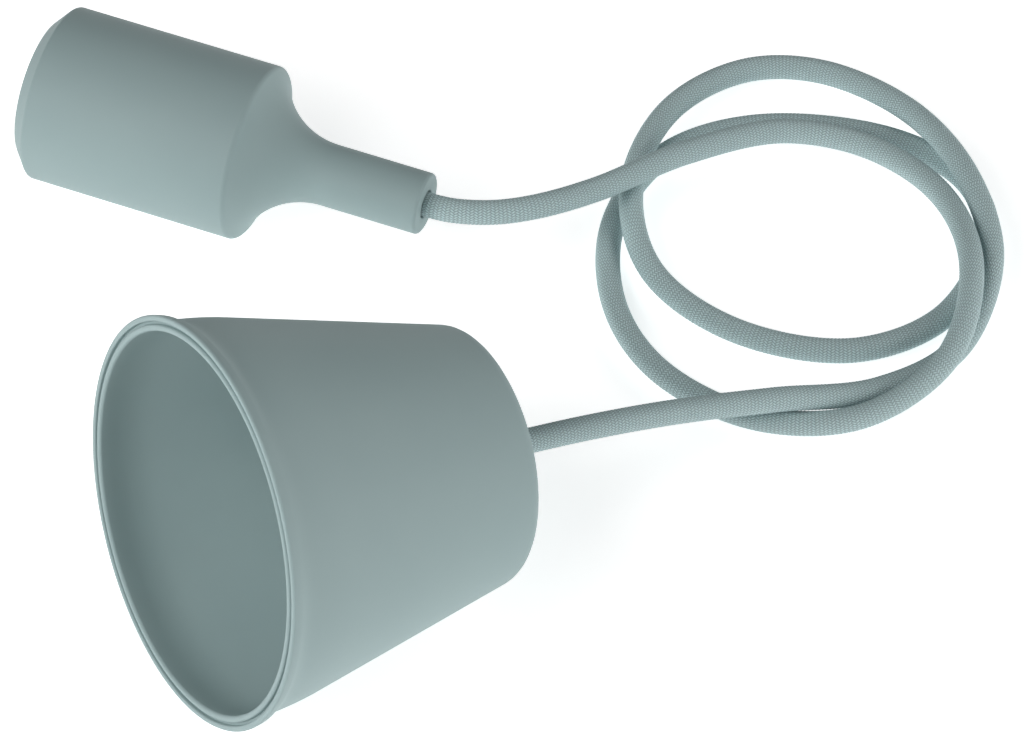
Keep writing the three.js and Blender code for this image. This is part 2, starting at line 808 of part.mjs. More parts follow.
// The cord: straight through the holder's grip and neck, along its route, then
// straight through the cup's end and clamp
const cupAxis = new THREE.Vector3(
  Math.cos(cupTilt) * Math.cos(cupHeading),
  Math.cos(cupTilt) * Math.sin(cupHeading),
  -Math.sin(cupTilt),
);
const alongHolder = (height) => [
  holderExit[0] - sleeveLength + height, holderExit[1], sleeveRadius,
];
const alongCup = (height) => cupAxis.clone().multiplyScalar(height).add(cup.position).toArray();
const cordPoints = [
  alongHolder(cordStart),
  alongHolder(sleeveLength),
  alongHolder(sleeveLength + cordStraight),
  ...cordRoute,
  alongCup(cupHeight + cordStraight),
  alongCup(cupHeight),
  alongCup(cordEnd),
];
const cord = piece('cord', cable(cordPoints, cordRadius, cordSides, cordSteps), braidGrey);

const group = new THREE.Group();
group.add(holder, cup, cord);

export default group;
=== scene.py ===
# %% [markdown]
# # A pendant cord set
#
# This notebook dresses a lamp holder in a soft moulded sleeve, a braided cord laid in two loops,
# and the conical cup that hides the fittings at the ceiling. The solid model comes from CAD and
# stays where it is. What is made here is its finer surface, its finishes, the light and the camera.

import math

import bmesh
import bpy
from mathutils import Matrix, Vector


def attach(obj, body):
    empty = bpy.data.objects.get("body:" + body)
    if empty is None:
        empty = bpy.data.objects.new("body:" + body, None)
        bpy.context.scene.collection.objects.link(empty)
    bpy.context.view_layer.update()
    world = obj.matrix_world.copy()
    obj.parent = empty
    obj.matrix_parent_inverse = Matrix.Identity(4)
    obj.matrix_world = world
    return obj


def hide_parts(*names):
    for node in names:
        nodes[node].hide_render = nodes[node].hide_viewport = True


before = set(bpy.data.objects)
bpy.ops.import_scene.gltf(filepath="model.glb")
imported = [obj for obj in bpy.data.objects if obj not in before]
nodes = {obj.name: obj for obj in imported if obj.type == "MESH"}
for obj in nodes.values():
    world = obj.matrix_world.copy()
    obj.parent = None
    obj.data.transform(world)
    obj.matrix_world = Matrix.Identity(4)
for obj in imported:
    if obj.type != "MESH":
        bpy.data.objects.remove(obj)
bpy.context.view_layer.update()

# %% [markdown]
# ## Sizes
#
# All lengths below are in millimetres, as a maker would write them, and one factor turns them into
# Blender's metres. The driving sizes are those of the CAD model, so that each finer surface lies on
# its solid. They could be read off the loaded meshes instead, but a named size can be understood and
# changed.

# %% Driving sizes
MM = 0.001

SLEEVE_DIAMETER = 45.0
SLEEVE_LENGTH = 104.0
HOLDER_EXIT = (18.8, 71.3)

CUP_RIM = 100.0
CUP_END = 62.7
CUP_HEIGHT = 77.5
CUP_EXIT = (61.9, -2.9)
CUP_HEADING = math.radians(49.5)
CUP_SLOPE = (CUP_RIM - CUP_END) / 2 / CUP_HEIGHT
CUP_TILT = math.atan(CUP_SLOPE)

CORD_DIAMETER = 6.2
GAP = 0.3
print("the cup's side leans by", round(math.degrees(CUP_TILT), 1), "degrees")

# %% [markdown]
# ## Two axes
#
# The holder and the cup are both turned forms. Each could be modelled as it lies, but then every radius
# would hide in a slanted coordinate. So each is made upright round Z and then laid down by one matrix.
# The holder's axis runs along +X. The cup rests on its slanted side, so its axis dips towards the small
# end by the same angle that the side slants.


# %% Lay a turned form down
def laid_down(base, heading, dip):
    """Matrix that turns local Z to the given heading and dip, and local X to the downward side."""
    level = math.cos(dip)
    along = Vector((level * math.cos(heading), level * math.sin(heading), -math.sin(dip)))
    across = Vector((-math.sin(heading), math.cos(heading), 0.0))
    down = across.cross(along)
    turn = Matrix((down, across, along)).transposed().to_4x4()
    return Matrix.Translation(Vector(base) * MM) @ turn @ Matrix.Scale(MM, 4)


HOLDER = laid_down((HOLDER_EXIT[0] - SLEEVE_LENGTH, HOLDER_EXIT[1], SLEEVE_DIAMETER / 2), 0.0, 0.0)
CUP_REACH = CUP_HEIGHT * math.cos(CUP_TILT)
CUP = laid_down(
    (
        CUP_EXIT[0] - CUP_REACH * math.cos(CUP_HEADING),
        CUP_EXIT[1] - CUP_REACH * math.sin(CUP_HEADING),
        CUP_RIM / 2 * math.cos(CUP_TILT),
    ),
    CUP_HEADING,
    CUP_TILT,
)
print("holder mouth at", [round(value / MM, 1) for value in HOLDER.translation])
print("cup rim centre at", [round(value / MM, 1) for value in CUP.translation])

# %% [markdown]
# ## The camera
#
# The picture is taken from well above with a long lens, which keeps the cup's rim and its small end
# close to their true proportions. A short lens nearer by would show the same pieces, but it would swell
# the rim. The camera comes first, because every later choice is judged through it.

# %% Camera
LOOK_AT = Vector((52.1, 45.05, 0.0)) * MM
ELEVATION = math.radians(51.217)
AZIMUTH = math.radians(21.576)
DISTANCE = 1565.8 * MM
LENS = 222.3
SENSOR = 36.0


def way_to(azimuth, elevation):
    """Direction from the set to a camera or lamp, from its angles in radians."""
    return Vector((
        math.sin(azimuth) * math.cos(elevation),
        -math.cos(azimuth) * math.cos(elevation),
        math.sin(elevation),
    ))


camera_data = bpy.data.cameras.new("camera")
camera_data.lens = LENS
camera_data.sensor_width = SENSOR
camera_data.clip_start = 0.1
camera_data.clip_end = 50.0
camera = bpy.data.objects.new("camera", camera_data)
camera.location = LOOK_AT + way_to(AZIMUTH, ELEVATION) * DISTANCE
camera.rotation_euler = (math.pi / 2 - ELEVATION, 0.0, AZIMUTH)
bpy.context.collection.objects.link(camera)
bpy.context.scene.camera = camera
print("camera at", [round(value, 3) for value in camera.location])

# %% [markdown]
# ## The cord's route
#
# The cord leaves the holder's neck straight, climbs over its own loops, winds round twice and dives
# into the cup. It could be dropped by a simulation, but then the loops would fall where they like. So
# a few dozen listed points give the way, and one smooth curve through them gives the cord. The
# curve is the centripetal kind, which never makes a small loop of its own between two close points.

# %% Route points, from the holder to the cup
CORD_ROUTE = [
    (26.5, 72, 22.5), (35.7, 75.2, 22.5), (44.4, 81.3, 21.8), (55.2, 95.1, 18.1), (70.5, 118, 14),
    (89.8, 137.2, 9.7), (111, 142, 7.5), (133.6, 132, 9.9), (149.5, 109.3, 13), (152.4, 82.3, 9.4),
    (138, 61.5, 4.5), (113.9, 52.4, 3.2), (87, 56.9, 3.8), (68.5, 73, 3.5), (58.5, 99, 3.2),
    (63, 124.5, 3.2), (81.5, 141.5, 3.5), (115, 150, 3.2), (137.1, 143.4, 3.6), (147.9, 127.5, 3.2),
    (145.8, 98.9, 3.6), (128.5, 81, 3.5), (99, 76, 4), (74, 85, 5.5), (61, 104, 9.5),
    (60, 134, 8.5), (72.5, 157, 5), (90, 164, 4.5), (116.7, 156.7, 8.1), (139, 138, 11.5),
    (152.5, 116.5, 9), (152.6, 90.9, 3.9), (139, 71.5, 4), (117.4, 53.9, 10.3), (98.5, 37.4, 16.3),
    (81.5, 20, 22.5),
]
CORD_STRAIGHT = 2.0
CORD_IN_HOLDER = 48.0
CORD_IN_CUP = 58.4


def along(place, height):
    """Point on a turned form's axis, in millimetres of the frame."""
    return (place @ Vector((0.0, 0.0, height))) / MM


route = [
    along(HOLDER, CORD_IN_HOLDER),
    along(HOLDER, SLEEVE_LENGTH),
    along(HOLDER, SLEEVE_LENGTH + CORD_STRAIGHT),
    *[Vector(point) for point in CORD_ROUTE],
    along(CUP, CUP_HEIGHT + CORD_STRAIGHT),
    along(CUP, CUP_HEIGHT),
    along(CUP, CORD_IN_CUP),
]
print("route points:", len(route))

# %% [markdown]
# ## One smooth curve
#
# Blender's own curve objects would do for the look, but the braid is counted along the cord, so its
# rings have to stand at even distances. Here the curve is worked out finely first and then cut into
# equal pieces. The cord's length decides how many columns the braid has, and three rings make one
# column.

# %% Smooth curve through the points
STEPS_A_SPAN = 40


def centripetal(p0, p1, p2, p3, t):
    """Point at t, from 0 to 1, between p1 and p2 on the centripetal curve through four points."""
    d0 = max((p1 - p0).length ** 0.5, 1e-6)
    d1 = max((p2 - p1).length ** 0.5, 1e-6)
    d2 = max((p3 - p2).length ** 0.5, 1e-6)
    leave = ((p1 - p0) / d0 - (p2 - p0) / (d0 + d1) + (p2 - p1) / d1) * d1
    arrive = ((p2 - p1) / d1 - (p3 - p1) / (d1 + d2) + (p3 - p2) / d2) * d1
    a = 2 * t ** 3 - 3 * t ** 2 + 1
    b = t ** 3 - 2 * t ** 2 + t
    c = -2 * t ** 3 + 3 * t ** 2
    d = t ** 3 - t ** 2
    return p1 * a + leave * b + p2 * c + arrive * d


def smooth_route(points, pieces):
    """Curve through the points, cut into the given number of equal pieces, and its length."""
    ends = [points[0] * 2 - points[1], *points, points[-1] * 2 - points[-2]]
    fine = []
    for i in range(len(points) - 1):
        fine += [centripetal(*ends[i:i + 4], step / STEPS_A_SPAN) for step in range(STEPS_A_SPAN)]
    fine.append(points[-1])
    lengths = [0.0]
    for one, two in zip(fine, fine[1:]):
        lengths.append(lengths[-1] + (two - one).length)
    even = []
    at = 0
    for piece in range(pieces + 1):
        target = lengths[-1] * piece / pieces
        while at < len(fine) - 2 and lengths[at + 1] < target:
            at += 1
        share = (target - lengths[at]) / max(lengths[at + 1] - lengths[at], 1e-9)
        even.append(fine[at].lerp(fine[at + 1], share))
    return even, lengths[-1]


COLUMN_LENGTH = 0.96
RINGS_A_COLUMN = 3
cord_length = smooth_route(route, 1)[1]
columns = round(cord_length / COLUMN_LENGTH)
cord_line = smooth_route(route, columns * RINGS_A_COLUMN)[0]
print("cord length in mm:", round(cord_length, 1), "in", columns, "columns")

# %% [markdown]
# ## Shader maths as Python
#
# A finish is a small formula: a colour that follows a pattern, a roughness that follows a noise. Such
# a formula could be clicked together in the shader editor, but it is easier to read as a line of text.
# The class below wraps one socket, so that the formula can be written with plus, minus and times and
# still end up as ordinary nodes.


# %% A socket that can be calculated with
class Flow:
    """One output socket of a material's node tree."""

    def __init__(self, finish, socket):
        self.finish = finish
        self.socket = socket

    def maths(self, operation, *values):
        return self.finish.node("ShaderNodeMath", {"operation": operation}, dict(enumerate(values)))

    def __add__(self, other):
        return self.maths("ADD", self, other)

    def __radd__(self, other):
        return self.maths("ADD", other, self)

    def __sub__(self, other):
        return self.maths("SUBTRACT", self, other)

    def __rsub__(self, other):
        return self.maths("SUBTRACT", other, self)

    def __mul__(self, other):
        return self.maths("MULTIPLY", self, other)

    def __rmul__(self, other):
        return self.maths("MULTIPLY", other, self)

    def __pow__(self, other):
        return self.maths("POWER", self, other)

    def __rpow__(self, other):
        return self.maths("POWER", other, self)

    def floor(self):
        return self.maths("FLOOR", self)

    def fraction(self):
        return self.maths("FRACT", self)

    def sine(self):
        return self.maths("SINE", self)

    def modulo(self, other):
        return self.maths("FLOORED_MODULO", self, other)

    def below(self, other):
        """1 where the value is below the other and 0 elsewhere."""
        return self.maths("LESS_THAN", self, other)


# %% [markdown]
# ## One material
#
# Every finish starts from Blender's general surface shader. What is the same all over is set on the
# shader's own sockets. What changes over the surface comes from nodes, and all of them are added by one
# method. Patterns are laid out in the object's own millimetres and not in an unwrapped picture, so a
# grain has its real size on every piece and there is no seam.


# %% A finish and its nodes
class Finish:
    """One material, with its surface shader and a short way to add nodes."""

    def __init__(self, name, **settings):
        self.name = name
        self.material = bpy.data.materials.new(name)
        self.material.use_nodes = True
        self.tree = self.material.node_tree
        self.surface = self.tree.nodes["Principled BSDF"]
        for socket, value in settings.items():
            self.surface.inputs[socket.replace("_", " ")].default_value = value

    def node(self, kind, settings=None, values=None, output=0):
        """Adds a node with its settings and inputs, and gives one of its outputs."""
        made = self.tree.nodes.new(kind)
        for key, value in (settings or {}).items():
            setattr(made, key, value)
        for key, value in (values or {}).items():
            if isinstance(value, Flow):
                self.tree.links.new(value.socket, made.inputs[key])
            else:
                made.inputs[key].default_value = value
        return Flow(self, made.outputs[output])

    def place(self):
        """Where the surface is, in millimetres of the frame."""
        here = self.node("ShaderNodeTexCoord", output="Object")
        return self.node("ShaderNodeVectorMath", {"operation": "SCALE"}, {0: here, "Scale": 1 / MM})

    def noise(self, at, size, detail=2.0, roughness=0.5):
        """Soft noise from 0 to 1 whose lumps are about the given size in millimetres."""
        values = {"Vector": at, "Scale": 1.0 / size, "Detail": detail, "Roughness": roughness}
        return self.node("ShaderNodeTexNoise", None, values)

    def blend(self, share, low, high):
        """Colour between two, by a share."""
        return self.node("ShaderNodeMix", {"data_type": "RGBA"}, {0: share, 6: low, 7: high}, output=2)

    def feed(self, socket, flow):
        self.tree.links.new(flow.socket, self.surface.inputs[socket])

    def bump(self, height, depth, strength=1.0):
        """Raises the surface by a height from 0 to 1, with the given depth in millimetres."""
        values = {"Height": height, "Distance": depth * MM, "Strength": strength}
        self.feed("Normal", self.node("ShaderNodeBump", None, values))

    def summary(self):
        return f"{self.name}: {len(self.tree.nodes)} nodes"


def srgb(red, green, blue):
    """Linear colour from the 0 to 255 numbers of a picture."""
    def one(value):
        share = value / 255
        return share / 12.92 if share <= 0.04045 else ((share + 0.055) / 1.055) ** 2.4

    return (one(red), one(green), one(blue), 1.0)


print("middle grey of a picture in light:", round(srgb(128, 128, 128)[0], 3))

# %% [markdown]
# ## Silicone
#
# The sleeve and the cup are moulded in the same grey-green silicone. It is matt, with a soft wide
# highlight, and its colour wanders by a shade over a few centimetres. Close up the skin has the fine
# tooth of a sandblasted mould. One flat colour would look like paint, so a large soft noise moves both
# the colour and the gloss, and a fine one makes the tooth.

# %% Silicone finish
SILICONE_SHADE = srgb(147, 167, 168)
SILICONE_LIGHT = srgb(155, 174, 174)

silicone = Finish("grey_silicone", Roughness=0.6, IOR=1.41, Specular_IOR_Level=0.4)
at = silicone.place()
cloud = silicone.noise(at, size=28.0)
tooth = silicone.noise(at, size=0.35, detail=3.0, roughness=0.6)
silicone.feed("Base Color", silicone.blend(cloud, SILICONE_SHADE, SILICONE_LIGHT))
silicone.feed("Roughness", 0.54 + 0.12 * cloud)
silicone.bump(tooth, depth=0.02, strength=0.5)
print(silicone.summary())

# %% [markdown]
# ## Braid
#
# The cord wears a braid of fine yarns: one set winds round it to the left, the other to the right. Each
# yarn passes over two of the other set and then under two, which is the usual braid of a lamp cord. So
# the grains that show are short slanted ticks, in columns that slant one way and then the other. Every
# yarn could be a curve of its own, but a metre of cord would need millions of faces. Here two slanted
# counts, one for each set, say which yarn a point belongs to, and their sum says which set is on top
# there. The same height lifts the ticks by bump and darkens the grooves between them with painted shade.

# %% Braid counts
YARNS_AROUND = 28.0
OVER = 2.0
REPEAT = 2 * OVER

braid = Finish("braided_textile", Roughness=0.85, Specular_IOR_Level=0.2)
on_cord = braid.node("ShaderNodeAttribute", {"attribute_name": "cord_place"}, output="Vector")
split = braid.node("ShaderNodeSeparateXYZ", None, {0: on_cord})
column = Flow(braid, split.socket.node.outputs[0])
turn_round = Flow(braid, split.socket.node.outputs[1])
left = column + turn_round * YARNS_AROUND
right = column - turn_round * YARNS_AROUND
left_yarn = left.floor()
right_yarn = right.floor()
left_on_top = (left_yarn + right_yarn).modulo(REPEAT).below(OVER - 0.5)
left_run = ((left_yarn + right).modulo(REPEAT) * (1 / OVER)).fraction()
right_run = ((left + right_yarn).modulo(REPEAT) * (1 / OVER)).fraction()
print("one yarn is", round(math.pi * CORD_DIAMETER / YARNS_AROUND, 2), "mm apart from the next")

# %% Braid finish
# The groove colour is painted shade: the grooves between the ticks and the sunk tick ends are darkened in
# the colour.
BRAID_PAINTED_GROOVE_SHADE = srgb(110, 130, 132)
BRAID_TOP = srgb(215, 236, 237)
BRAID_FADED = srgb(205, 227, 229)
YARN_ROUNDNESS = 0.6
END_ROUNDNESS = 0.7
END_HEIGHT = 0.3
FIBRE_SHARE = 0.15


def tick(across, run):
    """Height of one tick: round across the yarn, and sinking at both ends of its run."""
    arch = (across.fraction() * math.pi).sine() ** YARN_ROUNDNESS
    ends = (run * math.pi).sine() ** END_ROUNDNESS
    return arch * (END_HEIGHT + (1 - END_HEIGHT) * ends)


left_tick = tick(left, left_run)
right_tick = tick(right, right_run)
grain = right_tick + left_on_top * (left_tick - right_tick)
fibre = braid.noise(braid.place(), size=0.18, detail=3.0, roughness=0.6)
heather = braid.noise(braid.place(), size=2.5, detail=3.0, roughness=0.7)
height = grain * (1 - FIBRE_SHARE) + fibre * FIBRE_SHARE
worn = braid.blend(heather, BRAID_TOP, BRAID_FADED)
# The colour follows the height, so the low places of the braid get painted shade on top of the bump.
braid.feed("Base Color", braid.blend(height, BRAID_PAINTED_GROOVE_SHADE, worn))
braid.feed("Roughness", 0.9 - 0.15 * grain)
braid.bump(height, depth=0.25, strength=0.7)
print(braid.summary())

# %% [markdown]
# ## Pale moulding
#
# Inside the silicone sit pale plastic mouldings. They show at the holder's mouth and at the bottom of
# the cup. Moulded plastic is never quite one colour, because it cools as it flows, so a wide faint noise
# stands for the flow marks and a fine one for the mould's surface.

# %% Pale moulding
moulding = Finish("pale_moulding", Roughness=0.42)
at = moulding.place()
flow_marks = moulding.noise(at, size=9.0)
speckle = moulding.noise(at, size=0.3)
moulding.feed("Base Color", moulding.blend(flow_marks, srgb(214, 214, 206), srgb(226, 226, 219)))
moulding.feed("Roughness", 0.36 + 0.14 * flow_marks)
moulding.bump(speckle, depth=0.015, strength=0.5)
print(moulding.summary())

# %% [markdown]
# ## Brass and plated steel
#
# The contacts are pressed from brass, and the screws, rivets and the nut are zinc-plated steel. Both are
# plain metals for the shader. What tells them from a mirror is the stain: brass tarnishes in patches of
# some millimetres, and zinc has a fine bloom. The same noise moves colour and gloss together, because a
# stained patch is duller too.

# %% Brass
brass = Finish("pressed_brass", Metallic=1.0, Roughness=0.3)
at = brass.place()
tarnish = brass.noise(at, size=5.0, detail=4.0, roughness=0.65)
dents = brass.noise(at, size=0.25)
brass.feed("Base Color", brass.blend(tarnish, srgb(192, 152, 86), srgb(216, 182, 118)))
brass.feed("Roughness", 0.24 + 0.22 * tarnish)
brass.bump(dents, depth=0.01, strength=0.4)
print(brass.summary())

# %% Zinc-plated steel
steel = Finish("plated_steel", Metallic=1.0, Roughness=0.3)
bloom = steel.noise(steel.place(), size=1.6, detail=4.0, roughness=0.7)
steel.feed("Base Color", steel.blend(bloom, srgb(178, 181, 184), srgb(206, 208, 212)))
steel.feed("Roughness", 0.22 + 0.25 * bloom)
steel.bump(bloom, depth=0.01, strength=0.3)
print(steel.summary())

# %% [markdown]
# ## Wire sheaths
#
# Each core of the cord has a smooth coloured sheath. The two differ only in their colours, so one
# function makes both.


# %% Wire sheaths
def sheath(name, dark, light):
    """Smooth coloured sheath of one core."""
    made = Finish(name, Roughness=0.4)
    streak = made.noise(made.place(), size=1.2)
    made.feed("Base Color", made.blend(streak, dark, light))
    made.feed("Roughness", 0.34 + 0.15 * streak)
    print(made.summary())
    return made


brown_sheath = sheath("brown_sheath", srgb(82, 50, 30), srgb(102, 64, 40))
blue_sheath = sheath("blue_sheath", srgb(36, 86, 160), srgb(48, 104, 182))

# %% [markdown]
# ## Turned forms
#
# The sleeve, the cup and the holder's skirt are all turned: one outline swept round an axis. They could
# be cages under a subdivision modifier, but then their radii would only be near the right ones. An
# outline keeps every radius. It is given as corners, and each corner gets a small rounding, because a
# moulded edge is never quite sharp and it is the rounding that catches the light.


# %% Round the corners of an outline
def rounded(corners, steps=4):
    """Outline points from (radius, height, rounding) corners."""
    outline = []
    count = len(corners)
    for i, (radius, height, rounding) in enumerate(corners):
        here = Vector((radius, height))
        before = Vector(corners[i - 1][:2]) - here
        after = Vector(corners[(i + 1) % count][:2]) - here
        if rounding <= 0:
            outline.append(here)
            continue
        half = before.angle(after) / 2
        cut = rounding / math.tan(half)
        start = here + before.normalized() * cut
        end = here + after.normalized() * cut
        inward = (before.normalized() + after.normalized()).normalized()
        middle = here + inward * (rounding / math.sin(half))
        one = start - middle
        two = end - middle
        turn = one.angle_signed(two)
        for step in range(steps + 1):
            spin = Matrix.Rotation(-turn * step / steps, 2)
            outline.append(middle + spin @ one)
    return outline


def swept(name, outline, sides):
    """Mesh swept round local Z from a closed outline, in millimetres."""
    mesh = bpy.data.meshes.new(name)
    verts = []
    for side in range(sides):
        angle = 2 * math.pi * side / sides
        verts += [(p[0] * math.cos(angle), p[0] * math.sin(angle), p[1]) for p in outline]
    rows = len(outline)
    faces = []
    for side in range(sides):
        here = side * rows
        there = (side + 1) % sides * rows
        for row in range(rows):
            above = (row + 1) % rows
            faces.append((here + row, there + row, there + above, here + above))
    mesh.from_pydata(verts, [], faces)
    return mesh


square = rounded([(0, 0, 0.2), (1, 0, 0), (1, 1, 0), (0, 1, 0)])
print("a square with one round corner has", len(square), "points")

# %% [markdown]
# ## From a mesh to a piece
#
# A mesh becomes a piece when it has a finish and a place in the scene. Smooth shading alone would bend
# the light on flat faces next to a rounding. The weighted normals keep large flat faces flat. A piece
# that comes with sharp edges can have them rounded by a bevel first. Corners that nearly touch are
# merged before that, because a bevel can't turn between them.

# %% Pieces from meshes
SHARP = math.radians(35.0)
LEVEL = math.radians(0.5)


def placed(name, mesh, finish):
    """Smooth-shaded object in the scene, with its finish."""
    mesh.shade_smooth()
    mesh.materials.append(finish.material)
    made = bpy.data.objects.new(name, mesh)
    bpy.context.collection.objects.link(made)
    return made


def shown(name, mesh, finish, edge=0.0):
    """Object from a mesh, facing outwards, with its edges rounded by the given width."""
    work = bmesh.new()
    work.from_mesh(mesh)
    if edge > 0:
        near = edge / 5 * MM
        bmesh.ops.remove_doubles(work, verts=work.verts, dist=near)
        bmesh.ops.dissolve_degenerate(work, edges=work.edges, dist=near)
        bmesh.ops.dissolve_limit(work, angle_limit=LEVEL, verts=work.verts, edges=work.edges)
    bmesh.ops.recalc_face_normals(work, faces=work.faces)
    work.to_mesh(mesh)
    work.free()
    made = placed(name, mesh, finish)
    if edge > 0:
        bevel = made.modifiers.new("rounded edges", "BEVEL")
        bevel.width = edge * MM
        bevel.segments = 2
        bevel.angle_limit = SHARP
    weighted = made.modifiers.new("flat faces stay flat", "WEIGHTED_NORMAL")
    weighted.keep_sharp = False
    weighted.weight = 80
    return made


def turned(name, outline, sides, place, finish):
    """Turned piece, laid in its place."""
    mesh = swept(name, outline, sides)
    mesh.transform(place)
    print(name, "has an outline of", len(outline), "points")
    return shown(name, mesh, finish)


# %% [markdown]
# ## The sleeve
#
# The sleeve is the one big form of the holder: a plain barrel with a chamfered mouth, a crisp
# shoulder, a hollow flare and a straight neck that grips the cord. A spline could give the shoulder, but
# two circles are what a mould maker would cut. A small one rounds the barrel's end, and a large one
# hollows the flare. They touch at one point, so the surface turns over without a kink.

# %% Sleeve sizes, along the axis from the mouth
SLEEVE_RADIUS = SLEEVE_DIAMETER / 2
SLEEVE_WALL = 2.4
SHOULDER_EDGE = 1.4
FLARE_RADIUS = 20.4
FLARE_END = 78.1
NECK_RADIUS = 7.9
NECK_MOUTH_WIDENING = 0.2
NECK_MOUTH_DEPTH = 6.0
CORD_BORE = CORD_DIAMETER / 2 + GAP
MOUTH_RADIUS = 16.5
MOUTH_FACE_RADIUS = 18.0
MOUTH_CHAMFER = 3.8
MOUTH_LIP = 2.2
CAVITY_RADIUS = SLEEVE_RADIUS - SLEEVE_WALL
CAP_SHOULDER = 47.3
CAP_TOP = 56.3
CAP_TOP_RADIUS = 8.8
GRIP_RADIUS = 6.1
GRIP_TOP = 70.6
SLEEVE_SIDES = 192


def arc(centre, radius, start, end, steps):
    """Outline corners, not rounded again, on a circle from one angle to another."""
    angles = [start + (end - start) * step / steps for step in range(steps + 1)]
    return [(centre[0] + radius * math.cos(a), centre[1] + radius * math.sin(a), 0.0) for a in angles]


edge_centre = SLEEVE_RADIUS - SHOULDER_EDGE
flare_centre = NECK_RADIUS + FLARE_RADIUS
across = flare_centre - edge_centre
behind = math.sqrt((FLARE_RADIUS + SHOULDER_EDGE) ** 2 - across ** 2)
touch = math.atan2(behind, across)
print("the circles touch at", round(math.degrees(touch), 1), "degrees")

# %% Sleeve
sleeve = turned("silicone_sleeve", rounded([
    (MOUTH_RADIUS, 0.0, 0.4),
    (MOUTH_FACE_RADIUS, 0.0, 0.5),
    (SLEEVE_RADIUS, MOUTH_CHAMFER, 0.8),
    *arc((edge_centre, FLARE_END - behind), SHOULDER_EDGE, 0.0, touch, steps=8),
    *arc((flare_centre, FLARE_END), FLARE_RADIUS, touch + math.pi, math.pi, steps=28)[1:],
    (NECK_RADIUS, SLEEVE_LENGTH, 0.9),
    (CORD_BORE + NECK_MOUTH_WIDENING, SLEEVE_LENGTH, 0.3),
    (CORD_BORE, SLEEVE_LENGTH - NECK_MOUTH_DEPTH, 0.0),
    (CORD_BORE, GRIP_TOP, 0.0),
    (GRIP_RADIUS, GRIP_TOP, 0.0),
    (GRIP_RADIUS, CAP_TOP, 0.0),
    (CAP_TOP_RADIUS, CAP_TOP, 0.0),
    (CAVITY_RADIUS, CAP_SHOULDER, 0.0),
    (CAVITY_RADIUS, MOUTH_LIP, 0.0),
    (MOUTH_RADIUS, MOUTH_LIP, 0.3),
]), SLEEVE_SIDES, HOLDER, silicone)
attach(sleeve, "root")
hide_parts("sleeve")

# %% [markdown]
# ## The ceiling cup
#
# The cup is a thin cone. Its rim is what the eye meets first: a lip with a soft outer edge, a narrow
# groove and a round bead inside it. Behind the rim the wall is drawn in on both sides, outside as a
# waist and inside as an undercut behind the bead. Bump could fake the groove, but the rim is seen edge
# on as well, so all of it is shape. Further down the wall follows the cone to the well-rounded small
# end.

# %% Cup sizes, along the axis from the rim
CUP_WALL = 1.8
CUP_FLOOR = 2.6
CUP_END_EDGE = 4.7
CUP_FLOOR_EDGE = 3.0
LIP_WIDTH = 1.6
GROOVE_WIDTH = 0.8
GROOVE_DEPTH = 1.1
BEAD_WIDTH = 1.6
BEAD_DEPTH = 1.7
TAPER_START = 45.0
CONE_START = 40.0
CUP_SIDES = 256
# Height, and how far the wall is drawn in from the cone there
WAIST = [
    (2.2, 0.0), (3.0, 0.33), (4.0, 0.66), (5.0, 0.82), (6.3, 0.84),
    (8.0, 0.68), (10.0, 0.45), (12.5, 0.22), (15.0, 0.07), (17.0, 0.0),
]
# Height and inner radius
UNDERCUT = [
    (35.0, 39.94), (28.0, 41.8), (22.0, 43.4), (17.0, 44.72), (14.0, 45.5), (12.0, 45.92), (10.5, 46.15),
    (9.0, 46.3), (7.5, 46.37), (6.0, 46.35), (4.5, 46.25), (3.0, 46.1),
]
lip_inner = CUP_RIM / 2 - LIP_WIDTH
bead_outer = lip_inner - GROOVE_WIDTH
bead_inner = bead_outer - BEAD_WIDTH
floor_level = CUP_HEIGHT - CUP_FLOOR


def cup_side(height):
    """Outer radius of the plain cone."""
    return CUP_RIM / 2 - CUP_SLOPE * height


def cup_inside(height):
    """Inner radius of the plain cone."""
    return cup_side(height) - CUP_WALL / math.cos(CUP_TILT)


print("opening inside the bead:", round(2 * bead_inner, 1), "mm")

# %% Cup
cup = turned("silicone_cup", rounded([
    (bead_inner, 0.0, 0.75),
    (bead_outer, 0.0, 0.6),
    (bead_outer, GROOVE_DEPTH, 0.2),
    (lip_inner, GROOVE_DEPTH, 0.2),
    (lip_inner, 0.0, 0.4),
    (CUP_RIM / 2, 0.0, 0.6),
    *[(cup_side(height) - drawn, height, 0.0) for height, drawn in WAIST],
    (cup_side(CONE_START), CONE_START, 0.0),
    (cup_side(CUP_HEIGHT), CUP_HEIGHT, CUP_END_EDGE),
    (CORD_BORE, CUP_HEIGHT, 0.4),
    (CORD_BORE, floor_level, 0.0),
    (cup_inside(floor_level), floor_level, CUP_FLOOR_EDGE),
    (cup_inside(TAPER_START), TAPER_START, 0.0),
    *[(radius, height, 0.0) for height, radius in UNDERCUT],
    (bead_inner, BEAD_DEPTH, 0.0),
], steps=6), CUP_SIDES, CUP, silicone)
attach(cup, "root")
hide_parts("ceiling_cup")

# %% [markdown]
# ## The cord
#
# The cord is one tube along the smooth route. A curve with a round bevel would be quicker, but the braid
# has to be counted on it. So each ring stands square to the route, and the rings are carried from one to
# the next without twist. The radius swells and shrinks a little with each column of the braid, which
# gives the cord its serrated edge. Two numbers are kept at every corner: the column that it is in, and
# how far round it is. The braid's pattern is counted in them.

# %% Tube along a line
RIPPLES_AROUND = 6


def ring_faces(rings, sides):
    """Faces between each ring of points and the next."""
    faces = []
    for ring in range(rings - 1):
        here = ring * sides
        there = here + sides
        for side in range(sides):
            beside = (side + 1) % sides
            faces.append((here + side, here + beside, there + beside, there + side))
    return faces


def ring_places(rings, sides):
    """Column and turn round at the corners of the same faces."""
    places = []
    step = 1 / RINGS_A_COLUMN
    for ring in range(rings - 1):
        for side in range(sides):
            low = side / sides
            high = (side + 1) / sides
            near = ring * step
            far = (ring + 1) * step
            places += [(near, low), (near, high), (far, high), (far, low)]
    return places


